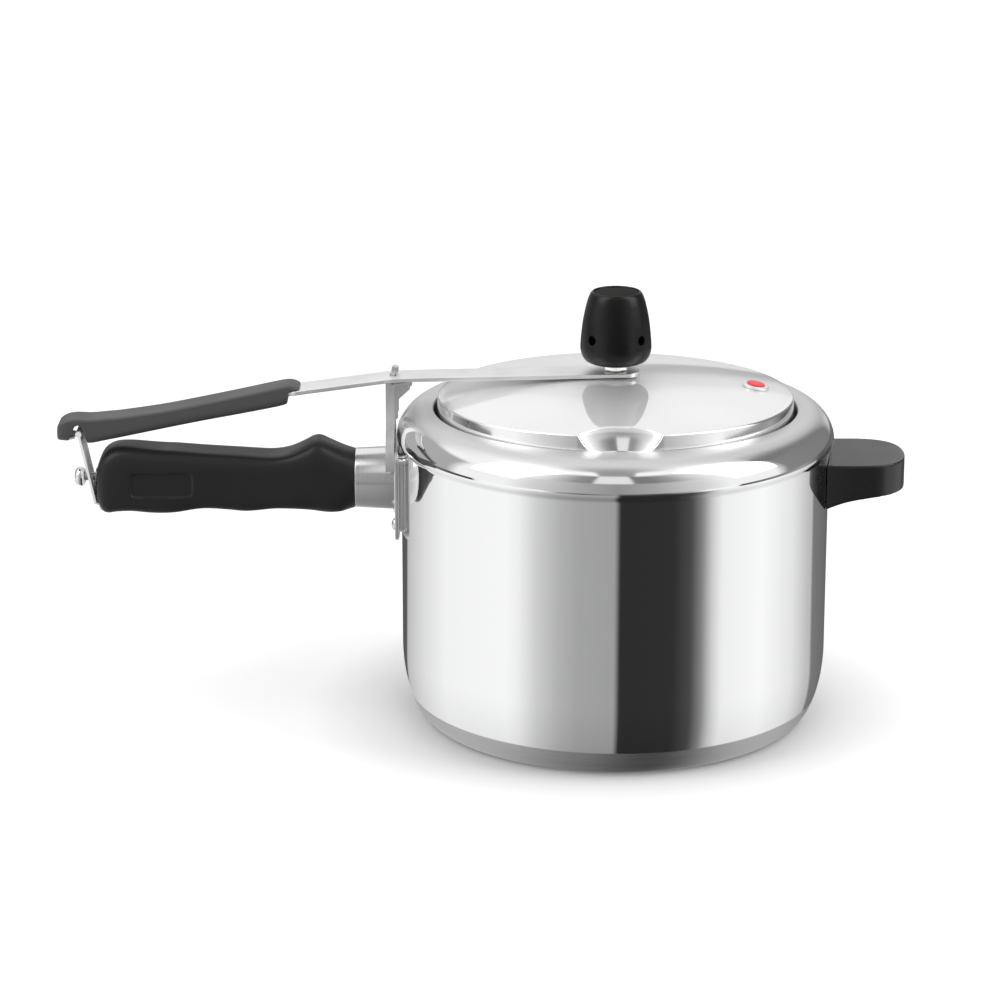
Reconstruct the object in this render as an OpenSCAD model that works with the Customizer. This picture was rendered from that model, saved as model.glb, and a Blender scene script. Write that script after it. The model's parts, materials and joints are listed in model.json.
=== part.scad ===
// Stovetop pressure cooker with an inner lid, a pull-up lever and a sprung latch.
// Millimetres. Origin on the base, at the pot's axis. +X points to the side grip,
// -X to the long handle, -Y to the front and +Z up.

/* [Pot] */
// Outer radius of the pot wall
pot_r = 102; // [100:0.5:104]
// Height of the flat flange round the mouth
pot_h = 152; // [150:0.5:154]
// Thickness of the pot's wall
wall = 2.5; // [2:0.25:3]
// Thickness of the pot's base
base_t = 3; // [2.5:0.5:4]

/* [Mouth and lid] */
// Half length of the oval mouth, along X
mouth_a = 86.7; // [84:0.1:87.5]
// Half width of the oval mouth, along Y
mouth_b = 78.8; // [77:0.1:79.5]
// Gap between the lid's raised part and the mouth
lid_gap = 1.2; // [0.8:0.1:1.6]
// Height of the lid's top at its centre
lid_top = 167.1; // [166:0.1:167.1]
// Thickness of the lid's sheet
lid_t = 2.5; // [2:0.25:3]

/* [Long handle] */
// Height of the lower grip's axis
grip_z = 116.5; // [115.5:0.5:117.5]
// Outer end of the lower grip
grip_end = -247.4; // [-249:0.1:-246]
// Inner end of the lower grip, where the ferrule starts
grip_root = -124; // [-126:0.5:-122]
// Radius of the ferrule at the grip
ferrule_r = 14.3; // [13.8:0.1:14.8]

/* [Lever] */
// Width of the steel lever arm
arm_w = 16.4; // [14:0.2:18]
// Thickness of the steel lever arm
arm_t = 2; // [1.5:0.25:2.5]
// Height of the arm's middle above the lid's centre
arm_z = 168.7; // [168:0.1:169.5]

/* [Weight] */
// Largest radius of the weight
weight_r = 16.9; // [16:0.1:18]
// Top of the weight
weight_top = 208; // [206:1:210]

/* [Side grip] */
// Outer end of the side grip
side_end = 138.2; // [134:0.2:142]
// Width of the side grip
side_w = 48; // [44:1:52]

/* [Hidden] */
$fn = 96;

fit = 0.05;                      // radial clearance of a part that turns or slides
eps = 0.01;                      // a cut's overshoot
corner_p = 14;                   // width of the rounded bottom corner
corner_q = 36;                   // height of the rounded bottom corner
bead_step = 2.2;                 // how far the shoulder stands out past the wall
shoulder_r = 14.3;               // radius of the rounded shoulder
shoulder_x = pot_r + bead_step - shoulder_r;
shoulder_z = pot_h - shoulder_r;
flange_under = pot_h - wall;

// the mouth is an oval of four arcs: two ends and two sides
end_r = 75;
end_c = mouth_a - end_r;
side_k = (end_c * end_c - pow(mouth_b - end_r, 2)) / (2 * (mouth_b - end_r));
side_r = mouth_b + side_k;
join_x = end_c + end_r * end_c / sqrt(end_c * end_c + side_k * side_k);

rim_grow = 7;                    // how far the lid's hidden rim reaches under the flange
rim_z = 141.8;
seal_z = rim_z + lid_t;          // top of the rim, where the gasket lies
seal_gap = 0.3;
dome_a = 380;                    // radii of the lid's dome, along X and across it
dome_b = 342;
scoop_y = -101.5;                // centre of the finger scoop in the lid's front edge
scoop_z = 171;
scoop_r = 36.1;
scoop_floor = 149.5;
plug_x = 66.5;                   // safety plug
plug_z = lid_top - dome_a + sqrt(dome_a * dome_a - plug_x * plug_x);

plate_out = pot_r + 2.9;         // outer face of the flat handle plate
plate_t = 2;
plate_half = 20;
plate_low = 90;
plate_high = 134;
rivet_spots = [[-15.5, 128.5], [15.5, 128.5], [-13, 97], [13, 97]];
rivet_r = 2;
rivet_head = 3.1;
ferrule_r2 = 15.2;
ferrule_bore = 12.6;
bolt_r = 2;
boss_r = 7;
boss_len = 11;
spigot_len = 7;

pivot_x = 2.4 - pot_r;           // fulcrum, the lever's hinge axis
pivot_z = 163;
pin_r = 1.5;
ear_r = 2.2;
web_out = plate_out + 1.5;       // outer face of the fulcrum bracket's web
cheek_x = -web_out - 2.6;        // outer edge of its cheeks
cheek_in = 8.7;
cheek_t = 1.3;
tongue_w = 5;
foot_half = 20;                  // half width of the bracket's foot
taper_low = 135;                 // the foot narrows between these heights
taper_high = 147;
cheek_out = cheek_in + cheek_t;
web_side = [[foot_half, 125], [foot_half, taper_low], [cheek_out, taper_high], [cheek_out, 164.6]];

kink_x = -pot_r - 3;                  // the arm bends down a little past the fulcrum
kink_z = 166.5;
mid_x = -152;
mid_z = 160.1;
arm_end = -240;
arm_end_z = 142.5;
arm_tip = 11.7;
arm_line = [[arm_tip, arm_z + 0.24], [kink_x, kink_z], [mid_x, mid_z], [arm_end, arm_end_z]];
tip_r = 9.6;                      // the arm's round tip, from above
neck_w = 11;                     // width of the bar inside the upper grip
screw_spots = [-183, -222];
head_drop = 2.3;                 // from the bar's middle down to a screw head
plate_line = [[-226, 146.9], [-241, 144.5], [-250, 145], [-261.8, 145]];
lip_line = [[-261.8, 137], [-257.2, 138]];

latch_x = -244.5;                // the latch's hinge axis
latch_z = 104;
latch_pin_r = 1.2;
latch_pin_len = 17;
latch_eye_r = 2;
latch_w = 15;
latch_t = 1.2;
foot_x = -248.3;                 // bend at the strip's foot
foot_z = 105.5;
roll_x = -255.3;                 // rolled bead at the strip's top
roll_z = 139.7;
roll_r = 1.5;
bolt_z = 117;
spring_low = grip_end + 4.3;      // the washer's face
spring_high = -249;              // just short of the strip
spring_mean = 4.3;               // radius of the coil's middle line
spring_wire = 0.4;
spring_turns = 4;

stem_r = 3.5;                    // vent pipe's neck
hub_low = 170.25;
hub_high = 175.4;
nozzle_r = 2.6;
nozzle_top = 186;
vent_bore = 1.3;

weight_low = 173.5;
core_low = 190;                  // top of the steam chamber, where the metal core starts
core_r = 10;
chamber_r = 12.6;
vent_hole_z = 186.9;             // steam holes through the weight's side
vent_hole_r = 2.15;

// r, z of the outer face, from the rounded underside to the rim of the top
weight_line = [[8.5, weight_low], [11.5, weight_low + 0.2], [13.6, weight_low + 0.9],
    [14.9, weight_low + 1.8], [weight_r - 0.8, weight_low + 3.8], [weight_r - 0.2, weight_low + 5.8],
    [weight_r, weight_low + 8], [weight_r - 0.1, weight_low + 10], [weight_r - 0.6, 189.2],
    [weight_r - 1.1, 193.2], [weight_r - 1.7, 197.1], [weight_r - 2.6, 201.1], [weight_r - 3.1, 203.1],
    [weight_r - 3.7, 205], [weight_r - 4.6, weight_top - 1], [weight_r - 5.6, weight_top]];

side_top = 129;
side_low = 114;                  // underside at the outer end
side_root = 107;                 // underside at the pot
side_corner = 10;
side_z = 119;
bracket_w = 28;
side_rivets_y = [-10.2, 10.2];
wedge_e = 0.3;                   // the smaller, the sharper the upper grip's corners

// x, top, underside, half width, squareness of the lower grip
lower_stations = [
    [grip_end, 121.5, 106.5, 8, 2.4], [grip_end + 0.8, 124.5, 103, 10.4, 2.5],
    [-245, 128.9, 100.7, 12, 2.6], [-242.5, 131.9, 99.8, 13, 2.7], [-238, 133.9, 100.5, 13.7, 2.8],
    [-231, 134.2, 100.8, 14, 2.8], [-222, 133.5, 100, 14, 2.8], [-215, 133, 99.9, 14, 2.8],
    [-209, 132.8, 100.3, 13.8, 2.8], [-197, 131.9, 102.1, 13.4, 2.8], [-185, 131.2, 101.5, 13.1, 2.8],
    [-178, 130.8, 100.8, 13.1, 2.8], [-172, 130.4, 101, 13.1, 2.8], [-163, 130, 102, 13.3, 2.8],
    [-155, 131.4, 101.9, 13.7, 2.7], [-148, 134.7, 101.3, 14, 2.5], [-144, 137, 100.7, 14.2, 2.3],
    [-140.5, 137.4, 100.1, 14.3, 2.2], [-136, 135.4, 99.7, 14.4, 2.2], [-131, 133.1, 100.1, 14.5, 2.1],
    [-127.5, 131.8, 101.2, 14.5, 2.05], [grip_root, grip_z + 14.2, grip_z - 14.2, 14.2, 2]];

// x, top, underside, half width on top and below, of the upper grip
upper_stations = [
    [-265.4, 142, 138, 6, 7.2], [-264.6, 144.2, 137, 7, 8.4], [-261.5, 146.1, 137, 7.5, 9],
    [-257, 146.9, 136.6, 7.7, 9.2], [-250, 146.8, 135.8, 7.7, 9.2], [-242, 147.5, 137.3, 7.7, 9.2],
    [-235, 148.2, 138.7, 7.7, 9.2], [-216, 150.9, 142.7, 7.7, 9.2], [-197, 154.6, 146.6, 7.7, 9.2],
    [-178, 158.6, 150.2, 7.7, 9.2], [-162, 162.1, 153.4, 7.7, 9.2], [-156, 163.3, 155, 7.5, 9.1],
    [-152.6, 163.1, 157, 7, 8.6], [-150, 162, 158.6, 6.2, 7.8]];

// ---------- 2-D helpers ----------

module oval(grow) {
    intersection() {
        translate([0, -side_k]) circle(r = side_r + grow, $fn = 240);
        translate([0, side_k]) circle(r = side_r + grow, $fn = 240);
        square([2 * join_x, 4 * mouth_b], center = true);
    }
    for (s = [-1, 1]) intersection() {
        translate([s * end_c, 0]) circle(r = end_r + grow, $fn = 240);
        translate([s * (join_x + mouth_a - 3), 0])
            square([2 * mouth_a, 4 * mouth_b], center = true);
    }
}

module oval_prism(grow, low, high) {
    translate([0, 0, low]) linear_extrude(high - low) oval(grow);
}

// a rounded rectangle, made of true arcs
module soft_box(w, h, r) {
    square([w - 2 * r, h], center = true);
    square([w, h - 2 * r], center = true);
    for (x = [-1, 1], y = [-1, 1]) translate([x * (w / 2 - r), y * (h / 2 - r)]) circle(r = r);
}

// draws a shape in the X-Z plane and gives it a width along Y
module across(width) {
    rotate([90, 0, 0]) linear_extrude(width, center = true) children();
}

// draws a shape in the Y-Z plane and gives it a depth from x towards +X
module along(x, depth) {
    translate([x, 0, 0]) rotate([90, 0, 90]) linear_extrude(depth) children();
}

// the space inside a cylinder round the pot's axis, fine enough to lie against the wall
module pot_round(r) {
    cylinder(r = r, h = 2 * pot_h, $fn = 360);
}

module cylinder_between(r, low, high) {
    translate([0, 0, low]) cylinder(r = r, h = high - low);
}

// a straight round bar along X
module bar_x(x, y, z, r, len) {
    translate([x, y, z]) rotate([0, 90, 0]) cylinder(r = r, h = len);
}

// a strip of constant thickness that follows a line of points
function slope(p, i) = let (a = p[max(i - 1, 0)], b = p[min(i + 1, len(p) - 1)]) (b - a) / norm(b - a);
function rail(p, d) = [for (i = [0 : len(p) - 1]) p[i] + d * [-slope(p, i)[1], slope(p, i)[0]]];
function turned(p) = [for (i = [len(p) - 1 : -1 : 0]) p[i]];
module strip(p, t) polygon(concat(rail(p, t / 2), turned(rail(p, -t / 2))));

// ---------- lofted grips ----------

// rings of equal length, skinned with triangles and closed at both ends
module skin(rings) {
    n = len(rings[0]);
    m = len(rings);
    polyhedron(
        points = [for (r = rings) each r],
        faces = concat(
            [[for (j = [0 : n - 1]) j], [for (j = [n - 1 : -1 : 0]) (m - 1) * n + j]],
            [for (i = [0 : m - 2], j = [0 : n - 1]) [i * n + j, (i + 1) * n + j, i * n + (j + 1) % n]],
            [for (i = [0 : m - 2], j = [0 : n - 1])
                [i * n + (j + 1) % n, (i + 1) * n + j, (i + 1) * n + (j + 1) % n]]));
}

function power(v, e) = sign(v) * pow(abs(v), e);

// one ring of a rounded grip at x: top, underside, half width and squareness
function oval_ring(x, top, low, half, n) = [for (i = [0 : 19]) let (a = i * 18)
    [x, half * power(cos(a), 2 / n), (top + low) / 2 + (top - low) / 2 * power(sin(a), 2 / n)]];

// one ring of the upper grip: a rounded trapezoid, narrow on top
function wedge_ring(x, top, low, half_top, half_low) = [for (i = [0 : 19]) let (
        a = i * 18, s = power(sin(a), wedge_e), h = (half_top + half_low) / 2 - s * (half_low - half_top) / 2)
    [x, h * power(cos(a), wedge_e), (top + low) / 2 + s * (top - low) / 2]];

// ---------- pot ----------

function corner(p, q, x, z) = [for (a = [0 : 9 : 90]) [x - p + p * sin(a), z + q - q * cos(a)]];
function shoulder(r) = [for (a = [0 : 7.5 : 90]) [shoulder_x + r * cos(a), shoulder_z + r * sin(a)]];

pot_outside = concat(corner(corner_p, corner_q, pot_r, 0), [[pot_r, shoulder_z - 2.6],
    [pot_r + 0.5, shoulder_z - 1.7], [pot_r + bead_step - 0.4, shoulder_z - 0.7]], shoulder(shoulder_r));
pot_inside = concat(corner(corner_p - wall, corner_q - base_t, pot_r - wall, base_t),
    [[pot_r - wall, shoulder_z - 2.6], [pot_r - wall + 0.5, shoulder_z - 1.7],
     [pot_r - wall + bead_step - 0.4, shoulder_z - 0.7]], shoulder(shoulder_r - wall));

module pot_shell() {
    color("silver") difference() {
        rotate_extrude($fn = 240) difference() {
            polygon(concat([[0, 0]], pot_outside, [[0, pot_h]]));
            polygon(concat([[-eps, base_t]], pot_inside, [[-eps, flange_under]]));
        }
        oval_prism(0, pot_h - 20, pot_h + 20);
        for (p = rivet_spots) bar_x(-pot_r - 5, p[0], p[1], rivet_r, 30);
        for (y = side_rivets_y) bar_x(pot_r - 20, y, side_z, rivet_r, 30);
    }
}

// ---------- long handle ----------

module plate_outline(half, low, high, r) {
    translate([0, (low + high) / 2]) soft_box(2 * half, high - low, r);
}

module backing_plate() {
    color("lightgray") difference() {
        along(-plate_out + plate_t, 6) plate_outline(plate_half - 3, plate_low + 3, plate_high - 2, 5);
        pot_round(pot_r + fit);
        for (p = rivet_spots) bar_x(-pot_r - 5, p[0], p[1], rivet_r, 30);
    }
}

module handle_plate() {
    color("silver") difference() {
        along(-plate_out, plate_t) plate_outline(plate_half, plate_low, plate_high, 5);
        for (p = rivet_spots) bar_x(-pot_r - 5, p[0], p[1], rivet_r, 30);
    }
}

// the two upper rivets also hold the fulcrum bracket's feet
module plate_rivets() {
    color("gainsboro") for (p = rivet_spots) {
        face = p[1] > grip_z ? web_out : plate_out;
        bar_x(-face, p[0], p[1], rivet_r, face - pot_r + 8);
        intersection() {
            translate([-face + 2.3, p[0], p[1]]) sphere(r = 3.9);
            bar_x(-face - 5, p[0], p[1], rivet_head, 5);
        }
        intersection() {
            bar_x(-99, p[0], p[1], rivet_head, 5);
            pot_round(pot_r - wall);
            translate([-98, 0, 0]) cube([8, 80, 2 * pot_h], center = true);
        }
    }
}

module ferrule() {
    color("lightgray") difference() {
        translate([grip_root, 0, grip_z]) rotate([0, 90, 0])
            cylinder(r1 = ferrule_r, r2 = ferrule_r2, h = -plate_out - grip_root);
        bar_x(grip_root - 1, 0, grip_z, ferrule_bore, 30);
    }
}

module bolt_boss() {
    color("gray") difference() {
        bar_x(-plate_out - boss_len, 0, grip_z, boss_r, boss_len);
        bar_x(-plate_out - boss_len - 1, 0, bolt_z, bolt_r, boss_len - 1);
    }
}

module tie_bolt() {
    color("gainsboro") bar_x(-255.4, 0, bolt_z, bolt_r, 255.4 - plate_out - 3);
}

module lower_grip() {
    color("#1c1c1e") difference() {
        union() {
            skin([for (s = lower_stations) oval_ring(s[0], s[1], s[2], s[3], s[4])]);
            bar_x(grip_root - 4, 0, grip_z, ferrule_bore - fit, spigot_len + 4);
        }
        bar_x(grip_end - 1, 0, bolt_z, bolt_r + fit, 200);
        bar_x(grip_end - 1, 0, bolt_z, 6, 6.4);
        bar_x(-118, 0, grip_z, boss_r + 1, 10);
        // slot for the latch's foot, and the pin's hole across it
        translate([-246, 0, 105.2]) cube([7.6, latch_w + 0.8, 8], center = true);
        translate([latch_x, 0, latch_z]) rotate([90, 0, 0])
            cylinder(r = latch_pin_r, h = latch_pin_len, center = true);
        // shallow bare panel on the front
        translate([-216, -13.8, 116.2]) rotate([90, 0, 0]) linear_extrude(1.5, center = true)
            soft_box(30, 12, 2.5);
    }
}

module end_washer() {
    color("silver") difference() {
        bar_x(grip_end + 4.4, 0, bolt_z, 5.9, 1);
        bar_x(grip_end, 0, bolt_z, bolt_r + fit, 9);
    }
}

module end_nut() {
    color("silver") difference() {
        translate([grip_end + 1.2, 0, bolt_z]) rotate([0, 90, 0]) cylinder(r = 3.7, h = 3.2, $fn = 6);
        bar_x(grip_end, 0, bolt_z, bolt_r, 9);
    }
}

// turned ball head that stops the latch
module latch_knob() {
    color("gainsboro") difference() {
        union() {
            intersection() {
                translate([-254.4, 0, bolt_z]) sphere(r = 4.75);
                bar_x(-258.4, 0, bolt_z, 4.6, 4);
            }
            bar_x(-254.4, 0, bolt_z, 4.6, 1);
        }
        bar_x(-255.4, 0, bolt_z, bolt_r, 5);
    }
}

module latch_pin() {
    color("silver") translate([latch_x, 0, latch_z]) rotate([90, 0, 0])
        cylinder(r = latch_pin_r, h = latch_pin_len, center = true);
}

// open coil, swept along a helix
module latch_spring() {
    steps = 64;
    color("silver") skin([for (i = [0 : steps]) let (
            a = 360 * spring_turns * i / steps,
            x = spring_low - spring_wire + (spring_high - spring_low + 2 * spring_wire) * i / steps)
        [for (j = [0 : 7]) let (b = 45 * j, r = spring_mean + spring_wire * cos(b))
            [x + spring_wire * sin(b), r * cos(a), bolt_z + r * sin(a)]]]);
}

// ---------- fulcrum ----------

module mirrored_y() {
    children();
    mirror([0, 1, 0]) children();
}

module fulcrum_bracket() {
    color("silver") difference() {
        union() {
            along(-web_out, web_out - plate_out)
                polygon(concat(web_side, [for (p = turned(web_side)) [-p[0], p[1]]]));
            // cheeks, bent outwards from both edges of the web
            mirrored_y() {
                along(cheek_x, -cheek_x - web_out + eps) polygon([
                    [foot_half, 125], [foot_half, taper_low], [cheek_out, taper_high], [cheek_out, 166.2],
                    [cheek_in, 166.2], [cheek_in, taper_high - 1],
                    [foot_half - cheek_t, taper_low - 1], [foot_half - cheek_t, 125]]);
                // ear that carries the fulcrum pin
                translate([0, 6.2, 0]) across(1.5) {
                    polygon([[-plate_out - eps, 146.5], [-103.2, 148], [-103.2, 156.8],
                        [pivot_x + 1.5, pivot_z - 1.6], [pivot_x, pivot_z + ear_r],
                        [-plate_out - eps, 164.4]]);
                    translate([pivot_x, pivot_z]) circle(r = ear_r);
                }
            }
            // tongue through the arm's slot, with a curled head
            across(tongue_w) {
                translate([-web_out, 160]) square([web_out - plate_out, 9.5]);
                translate([-104.7, 170]) circle(r = 1.7);
            }
        }
        bar_x(-120, 0, grip_z, ferrule_r2 + 0.3, 40);
        for (p = rivet_spots) bar_x(-120, p[0], p[1], rivet_r, 30);
        translate([pivot_x, 0, pivot_z]) rotate([90, 0, 0]) cylinder(r = pin_r, h = 30, center = true);
    }
}

module fulcrum_pin() {
    color("gainsboro") translate([pivot_x, 0, pivot_z]) rotate([90, 0, 0])
        cylinder(r = pin_r, h = 14.6, center = true);
}

// ---------- side grip ----------

module side_profile(top) {
    difference() {
        translate([pot_r - 8, side_root]) square([side_end - pot_r + 12, top - side_root]);
        // concave underside
        translate([side_end + 8, side_low - 80.5]) circle(r = 80.5, $fn = 240);
    }
}

module side_grip() {
    color("#202022") difference() {
        intersection() {
            across(200) side_profile(side_top);
            translate([0, 0, 90]) linear_extrude(50) {
                translate([side_end - 40, 0]) soft_box(80, side_w, side_corner);
                translate([pot_r - 10, -side_w / 2]) square([20, side_w]);
            }
        }
        pot_round(pot_r + fit);
        // pocket for the bracket and its rivets, and the screw's hole and counterbore
        translate([pot_r - 3.2, 0, side_z]) cube([20, bracket_w, 13] + 4 * [0, fit, fit], center = true);
        translate([pot_r + 14, 0, side_z]) cube([20, 14, 3] + 4 * [fit, fit, fit], center = true);
        translate([pot_r + 18, 0, 100]) cylinder(r = 2, h = side_z - 97);
        translate([pot_r + 18, 0, 100]) cylinder(r = 4, h = 13);
    }
}

module side_bracket() {
    color("gray") difference() {
        union() {
            translate([pot_r + 1, 0, side_z]) cube([8, bracket_w, 13], center = true);
            translate([pot_r + 14, 0, side_z]) cube([20, 14, 3], center = true);
        }
        pot_round(pot_r + fit);
        for (y = side_rivets_y) bar_x(pot_r - 20, y, side_z, rivet_r, 40);
        translate([pot_r + 18, 0, 100]) cylinder(r = 1.5, h = 40);
    }
}

module side_rivets() {
    color("gainsboro") for (y = side_rivets_y) {
        bar_x(98, y, side_z, rivet_r, pot_r + 5 - 98);
        bar_x(pot_r + 5, y, side_z, rivet_head, 1.5);
        intersection() {
            bar_x(92, y, side_z, rivet_head, 8);
            pot_round(pot_r - wall);
            translate([102, 0, 0]) cube([9, 80, 2 * pot_h], center = true);
        }
    }
}

module side_screw() {
    color("gainsboro") {
        translate([pot_r + 18, 0, 113]) cylinder(r = 1.5, h = side_z + 2.5 - 113);
        translate([pot_r + 18, 0, 111]) cylinder(r = 3.4, h = 2);
    }
}

// ---------- latch ----------

module latch_strip() {
    color("gainsboro") difference() {
        union() {
            across(latch_w)
                strip([[latch_x - 1, latch_z + 1], [foot_x, foot_z], [roll_x, roll_z]], latch_t);
            across(latch_w) translate([latch_x, latch_z]) circle(r = latch_eye_r);
            across(latch_w) translate([roll_x, roll_z]) circle(r = roll_r);
        }
        across(latch_w + 1) translate([latch_x, latch_z]) circle(r = latch_pin_r + fit);
        bar_x(-256, 0, bolt_z, 3.3, 10);
    }
}

// ---------- lever ----------

module arm_profile(extra) strip(arm_line, arm_t + extra);

// the bar from above: full width with a round tip, and narrow inside the upper grip
module arm_plan(extra) {
    half = arm_w / 2 + extra;
    neck = neck_w / 2 + extra;
    translate([mid_x, -half]) square([arm_tip - mid_x - 6, 2 * half]);
    intersection() {
        translate([arm_tip - tip_r, 0]) circle(r = tip_r);
        translate([0, -half]) square([20, 2 * half]);
    }
    polygon([[mid_x + eps, half], [-160, neck], [arm_end - extra, neck],
        [arm_end - extra, -neck], [-160, -neck], [mid_x + eps, -half]]);
}

module bar(extra) {
    intersection() {
        across(40) arm_profile(2 * extra);
        translate([0, 0, 100]) linear_extrude(100) arm_plan(extra);
    }
}

module lever_arm() {
    color("gainsboro") difference() {
        bar(0);
        cylinder(r = stem_r + 0.5, h = 200);
        translate([-105.75, 0, 166]) cube([3.1, tongue_w + 1.2, 10], center = true);
        for (x = screw_spots) translate([x, 0, 100]) cylinder(r = 1.5, h = 100);
    }
}

module fulcrum_saddle() {
    color("silver") difference() {
        translate([pivot_x, 0, pivot_z + 1.6]) cube([6, 10.2, 3.2], center = true);
        across(20) arm_profile(eps);
        translate([pivot_x, 0, pivot_z]) rotate([90, 0, 0]) cylinder(r = pin_r + fit, h = 30, center = true);
    }
}

module catch_shape(width, t) {
    across(width) strip(plate_line, t);
    across(width) translate([-261.8, 141]) square([t, 8.8 + t - 1], center = true);
    across(width) strip(lip_line, t);
}

// height of the bar's middle inside the upper grip
function bar_mid(x) = mid_z + (x - mid_x) * (mid_z - arm_end_z) / (mid_x - arm_end);

module upper_grip() {
    color("#3b3b3d") difference() {
        skin([for (s = upper_stations) wedge_ring(s[0], s[1], s[2], s[3], s[4])]);
        bar(fit);
        // step under the arm at the inner end
        across(40) polygon([[-155.8, 150], [-155.8, 160.45], [mid_x, 161.2], [-148, 161.75], [-148, 150]]);
        // notch that the latch's bead enters
        across(40) {
            polygon([[-250.7, 134], [-253.4, 142.5], [-257.6, 142.5], [-260.4, 136], [-260.4, 134]]);
            translate([-255.5, 142.3]) circle(r = 2.1);
        }
        catch_shape(13.2, 1.1);
        for (x = screw_spots) {
            translate([x, 0, bar_mid(x) - 20]) cylinder(r = 1.5, h = 22.9);
            translate([x, 0, bar_mid(x) - 20]) cylinder(r = 3, h = 20 - head_drop);
        }
    }
}

module grip_screws() {
    color("gainsboro") for (x = screw_spots) {
        translate([x, 0, bar_mid(x) - head_drop]) cylinder(r = 1.5, h = head_drop + 2.9);
        translate([x, 0, bar_mid(x) - head_drop - 1.4]) cylinder(r = 2.9, h = 1.4);
    }
}

module catch_plate() {
    color("gainsboro") catch_shape(13, 1);
}

// ---------- lid ----------

// a barrel that lies along X, so that the dome is rounder across the lid than along it
module dome(drop) {
    translate([0, 0, lid_top - dome_b]) rotate([0, 90, 0]) rotate_extrude($fn = 240) intersection() {
        translate([dome_b - dome_a, 0]) circle(r = dome_a - drop, $fn = 240);
        translate([0, -120]) square([2 * dome_b, 240]);
    }
}

// the lid's raised part, and the same shape one sheet further in
module raised(inset, drop, scoop, floor_z) {
    difference() {
        intersection() {
            oval_prism(-lid_gap - inset, rim_z - eps, lid_top + 2);
            dome(drop);
        }
        intersection() {
            translate([0, scoop_y, scoop_z]) sphere(r = scoop);
            translate([0, scoop_y, floor_z + 20]) cube([80, 80, 40], center = true);
        }
    }
}

module lid_dish() {
    color("silver") difference() {
        union() {
            raised(0, 0, scoop_r, scoop_floor);
            oval_prism(rim_grow, rim_z, seal_z);
        }
        raised(lid_t, lid_t, scoop_r + lid_t, scoop_floor - lid_t);
        oval_prism(-lid_gap - lid_t, rim_z - 1, rim_z + 1);
        cylinder(r = 5, h = 200);
        at_plug() cylinder_between(4.5 + fit, -10, 10);
    }
}

module gasket() {
    color("dimgray") difference() {
        oval_prism(5.5, seal_z, flange_under - seal_gap - 0.2);
        oval_prism(0.4, seal_z - 1, flange_under);
    }
}

module vent_pipe() {
    color("goldenrod") difference() {
        union() {
            cylinder_between(8, lid_top - 9, lid_top - 4.5);
            cylinder_between(5 - fit, lid_top - 5, lid_top - 0.6);
            cylinder_between(stem_r, lid_top - 1, hub_high + 0.6);
            cylinder_between(nozzle_r, hub_high, nozzle_top);
        }
        cylinder_between(vent_bore, lid_top - 11, 190);
        cylinder_between(3, lid_top - 10, lid_top - 7);
    }
}

module vent_washer() {
    color("firebrick") difference() {
        cylinder_between(8.5, lid_top - 4.5, lid_top - lid_t - 0.15);
        cylinder_between(5, 150, 170);
    }
}

module hub_nut() {
    color("silver") difference() {
        intersection() {
            translate([0, 0, hub_low]) rotate([0, 0, 30]) cylinder(r = 5.9, h = hub_high - hub_low, $fn = 6);
            translate([0, 0, hub_low - 1.2]) cylinder(r1 = 5.1, r2 = 11.7, h = 6.6);
        }
        cylinder_between(stem_r, 150, 180);
    }
}

// perforated cap below the vent, which keeps food out of it
module vent_screen() {
    color("silver") difference() {
        cylinder_between(9, lid_top - 13, lid_top - 6);
        cylinder_between(8 + fit, lid_top - 12, lid_top);
        for (a = [0 : 45 : 315]) rotate([0, 0, a]) translate([5, 0, 140]) cylinder(r = 1, h = 20);
        cylinder_between(1, 140, 160);
    }
}

// stands a piece on the dome at the plug's place, square to the sheet
module at_plug() {
    translate([plug_x, 0, plug_z]) rotate([0, asin(plug_x / dome_a), 0]) children();
}

module safety_collar() {
    color("gainsboro") at_plug() difference() {
        union() {
            cylinder_between(6.4, 0.05, 1.4);
            cylinder_between(4.5, -7, 0.1);
        }
        cylinder_between(3, -10, 10);
    }
}

module safety_nut() {
    color("silver") at_plug() difference() {
        translate([0, 0, -lid_t - 3.1]) cylinder(r = 7, h = 3, $fn = 6);
        cylinder_between(4.5, -10, 0);
    }
}

module safety_plug() {
    color("red") at_plug() {
        cylinder_between(3 - fit, -8, 1.6);
        cylinder_between(4.25, 1.4, 2.2);
        cylinder_between(3.9, -8.6, -7.1);
    }
}

// ---------- weight ----------

module weight_cap() {
    color("#161616") difference() {
        rotate_extrude() polygon(concat([[0, weight_low]], weight_line, [[0, weight_top]]));
        cylinder_between(core_r, core_low, 201);
        cylinder_between(chamber_r, weight_low + 2.6, core_low);
        cylinder_between(8, 170, 180);
        cylinder_between(10.6, weight_top - 1.6, weight_top + 1);
        for (a = [45 : 90 : 315]) rotate([0, 0, a]) bar_x(8, 0, vent_hole_z, vent_hole_r, 12);
    }
}

// metal core, with a conical seat over the nozzle
module weight_core() {
    color("silver") difference() {
        union() {
            cylinder_between(core_r, core_low, 201);
            cylinder_between(5, 179.5, core_low);
        }
        cylinder_between(nozzle_r + 0.4, 179, nozzle_top - 0.5 + eps);
        translate([0, 0, nozzle_top - 0.5]) cylinder(r1 = nozzle_r + 0.4, r2 = 0.6, h = 3.6);
    }
}

module weight_disc() {
    color("#222222") difference() {
        cylinder_between(10.6, weight_top - 1.6, weight_top - 0.5);
        translate([0, 0, weight_top + 59]) sphere(r = 59.8, $fn = 240);
    }
}

// ---------- assembly ----------

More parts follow.
